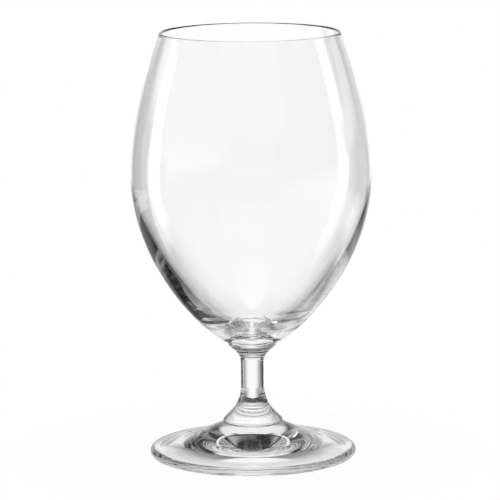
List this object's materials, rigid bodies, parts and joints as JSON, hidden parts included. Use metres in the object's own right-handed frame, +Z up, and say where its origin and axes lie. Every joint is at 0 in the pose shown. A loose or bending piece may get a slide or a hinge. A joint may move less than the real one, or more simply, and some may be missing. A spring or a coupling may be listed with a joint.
{
  "type": "stemmed water glass",
  "caption": "Clear stemmed water glass: an egg-shaped blown bowl narrowing to the rim, on a short solid stem with a trumpet base and a wide hollow-backed foot.",
  "frame": {"origin": "centre of the foot's standing ring, at table level", "axes": "+Z up along the glass's axis; the glass is round, so +X and +Y are any two level directions at right angles"},
  "size_m": [0.0842, 0.0842, 0.15],
  "materials": {
    "bowl_glass": "clear, fire polished",
    "stem_glass": "clear, fire polished",
    "foot_glass": "clear, fire polished"
  },
  "bodies": {
    "root": {"bowl": "bowl_glass", "stem": "stem_glass", "foot": "foot_glass"}
  },
  "joints": []
}
